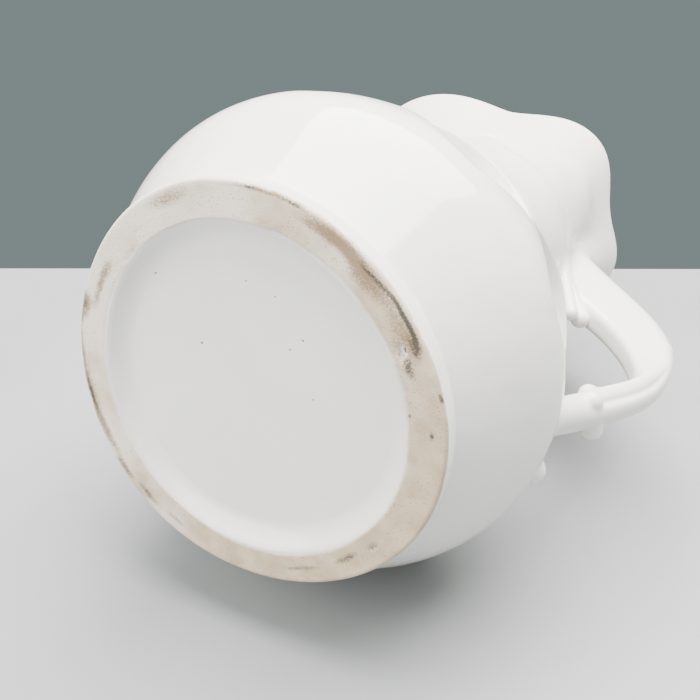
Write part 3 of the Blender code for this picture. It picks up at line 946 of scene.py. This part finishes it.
def bare_foot(axis):
    """The unglazed ring that the pitcher stands on: warm beige, paler towards the left of the view,
    stained along its edges and speckled, with light flecks in its chips."""
    paint = Paint("bare_foot")
    x, y, z = paint.parts()
    x = x - float(axis[0])
    radius = (x * x + y * y) ** 0.5
    azimuth = y.math("ARCTAN2", x) * degrees(1)
    wobble = paint.noise(55, 5)
    ragged = paint.noise(420, 3)
    edge = radius + 0.0022 * (wobble - 0.5) + 0.0008 * (ragged - 0.5)
    bare = edge.above(FOOT_RADIUS - RING_WIDTH + 0.0006, 0.0009)
    bare = bare * (1 - (z + 0.0016 * (wobble - 0.5)).above(0.75 * RING_EDGE, 0.0003))
    mottle = paint.noise(130, 6)
    clay = paint.mix(mottle.above(0.5, 0.25), CLAY_COLOUR, PALE_CLAY_COLOUR)
    paler = (CLAY_PALING[0] * x + CLAY_PALING[1] * y) / FOOT_RADIUS
    # Patches of paler clay: noise, with more of them towards the upper left of the view and fewer
    # towards the lower right
    pale_patches = (paint.noise(38, 3) - 0.5 * paler).above(0.54, 0.20)
    clay = paint.mix(0.85 * pale_patches, clay, PALE_PATCH_COLOUR)
    brown = stains(paint, radius, azimuth, BROWN_STAINS)
    dark = stains(paint, radius, azimuth, DARK_STAINS)
    clay = paint.mix(0.85 * brown, clay, BROWN_COLOUR)
    clay = paint.mix(0.9 * dark, clay, DARK_COLOUR)
    cells = paint.node("TexVoronoi", None, {"Vector": paint.place, "Scale": 850.0}).by_name("Distance")
    specks = (1 - cells.above(0.20, 0.06)) * paint.noise(70, 3).above(0.50, 0.1)
    clay = paint.mix(0.6 * specks, clay, SPECK_COLOUR)
    flecks = stains(paint, radius, azimuth, FLECKS) * paint.noise(1300, 2).above(0.60, 0.05)
    clay = paint.mix(flecks, clay, FLECK_COLOUR)
    colour = paint.mix(bare, GLAZE_COLOUR, clay)
    grain = paint.noise(1500, 3)
    normal = paint.bump(grain * bare, 0.0002)
    normal = paint.bump(bare, 0.0002, normal)
    roughness = RING_GLAZE_ROUGHNESS + (CLAY_ROUGHNESS - RING_GLAZE_ROUGHNESS) * bare
    return paint.finish(colour, roughness, normal, Specular_IOR_Level=0.5)


def view_axes():
    """The camera's right, down and forward directions in the pitcher's frame, as rows."""
    up = AXIS_IN_VIEW / np.linalg.norm(AXIS_IN_VIEW)
    facing = -FOOT_IN_VIEW + (FOOT_IN_VIEW @ up) * up
    facing /= np.linalg.norm(facing)
    handle = cos(HANDLE_TURN) * facing + sin(HANDLE_TURN) * np.cross(up, facing)
    return np.stack([handle, np.cross(up, handle), up], axis=1)


def seen(direction):
    """A direction given as right, up and towards the camera, in the pitcher's frame."""
    right, up, near = direction
    return Vector(view_axes().T @ np.array((right, -up, -near)))


def camera(axis):
    """The photograph's view, from below the foot. Returns the camera's place."""
    data = bpy.data.cameras.new("camera")
    data.sensor_width = SENSOR
    data.lens = SENSOR * FOCAL
    data.clip_start = 0.01
    made = bpy.data.objects.new("camera", data)
    place = Vector(-view_axes().T @ FOOT_IN_VIEW * FOOT_RADIUS + axis)
    turn = Matrix([seen(axis) for axis in ((1, 0, 0), (0, 1, 0), (0, 0, 1))]).transposed()
    made.matrix_world = Matrix.Translation(place) @ turn.to_4x4()
    bpy.context.scene.collection.objects.link(made)
    bpy.context.scene.camera = made
    return place


def floor_plane(axis):
    """The floor under the belly and a lobe of the rim of the lying pitcher: a point on it and its
    normal, towards the pitcher."""
    belly, belly_height = STATION_RADII[2], STATION_HEIGHTS[2]
    lean = atan2(belly - LOBE_RADII[2], RIM_HEIGHT - belly_height)
    turn = radians(LYING_AZIMUTH)
    down = np.array((cos(turn) * cos(lean), sin(turn) * cos(lean), sin(lean)))
    reach = belly * cos(lean) + belly_height * sin(lean)
    return Vector(axis + down * (reach + FLOOR_GAP)), Vector(-down)


def floor(axis, eye):
    """A pale floor, seen from its upper side only, so that it hides nothing in the other views. Its far
    edge is the line that crosses the view behind the pitcher."""
    point, normal = floor_plane(axis)
    ahead = seen((0, 0, -1))
    ahead = (ahead - ahead.dot(normal) * normal).normalized()
    side = ahead.cross(normal)
    foot = eye - (eye - point).dot(normal) * normal
    near, far = foot + ahead * FLOOR_NEAR, foot + ahead * FLOOR_FAR
    aside = side * FLOOR_HALF
    corners = [near - aside, near + aside, far + aside, far - aside]
    mesh = bpy.data.meshes.new("floor")
    mesh.from_pydata(corners, [], [(0, 1, 2, 3)])
    mesh.update()
    if mesh.polygons[0].normal.dot(normal) < 0:
        mesh.flip_normals()
    made = bpy.data.objects.new("floor", mesh)
    bpy.context.scene.collection.objects.link(made)
    paint = Paint("floor")
    behind = paint.node("NewGeometry").by_name("Backfacing")
    tone = paint.mix(paint.noise(9, 4).above(0.5, 0.4), FLOOR_COLOUR, PALE_FLOOR_COLOUR)
    shader = paint.node("BsdfPrincipled", None, {"Base Color": tone, "Roughness": 0.6})
    clear = paint.node("BsdfTransparent")
    both = paint.node("MixShader", None, {0: behind, 1: shader[0], 2: clear[0]})
    paint.node("OutputMaterial", None, {"Surface": both[0]})
    mesh.materials.append(paint.material)


def soft_light(name, target, direction, distance, size, power):
    """A square soft light that faces the target from a direction given as right, up and near."""
    data = bpy.data.lights.new(name, "AREA")
    data.size = size
    data.energy = power
    data.color = LIGHT_COLOUR
    made = bpy.data.objects.new(name, data)
    away = seen(direction).normalized()
    made.location = target + away * distance
    made.rotation_mode = "QUATERNION"
    made.rotation_quaternion = (-away).to_track_quat("-Z", "Y")
    bpy.context.scene.collection.objects.link(made)


def studio(axis):
    """A large soft light overhead, a weaker one from the left, and a room of grey-blue light."""
    target = Vector(axis) + Vector((0, 0, LIT_HEIGHT))
    soft_light("key", target, *KEY_LIGHT)
    soft_light("side", target, *SIDE_LIGHT)
    world = bpy.data.worlds.new("room")
    bpy.context.scene.world = world
    world.use_nodes = True
    back = world.node_tree.nodes["Background"]
    back.inputs["Color"].default_value = ROOM_COLOUR
    back.inputs["Strength"].default_value = ROOM_STRENGTH


def foot_axis(node):
    """Where the pitcher's axis meets the ground: the middle of the solid's points on the foot ring."""
    spots = np.array([tuple(v.co) for v in node.data.vertices if v.co.z < GROUND])
    spots = np.unique(spots.round(6), axis=0)
    return np.array((spots[:, 0].mean(), spots[:, 1].mean(), 0))


def lay_bare(body, axis, bare):
    """Gives the foot ring's faces the bare clay as the body's second material."""
    body.data.materials.append(bare)
    centres = np.empty(len(body.data.polygons) * 3)
    body.data.polygons.foreach_get("center", centres)
    x, y, z = (centres.reshape(-1, 3) - axis).T
    ring = (np.hypot(x, y) > FOOT_RADIUS - RING_WIDTH - RING_MARGIN) & (z < RING_EDGE)
    body.data.polygons.foreach_set("material_index", ring.astype(np.int32))


def main():
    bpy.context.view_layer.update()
    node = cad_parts["pitcher"]
    axis = foot_axis(node)
    eye = camera(axis)
    body, handle = pitcher_body(axis), pitcher_handle(axis)
    twigs = [root_twig(number, axis) for number in range(len(ROOT_TWIGS))]
    white = glaze(axis)
    node.data.materials.clear()
    node.data.materials.append(white)
    for piece in (body, handle, *twigs):
        piece.data.materials.append(white)
        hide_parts("pitcher")
        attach(piece, "root")
    lay_bare(body, axis, bare_foot(axis))
    floor(axis, eye)
    studio(axis)


main()
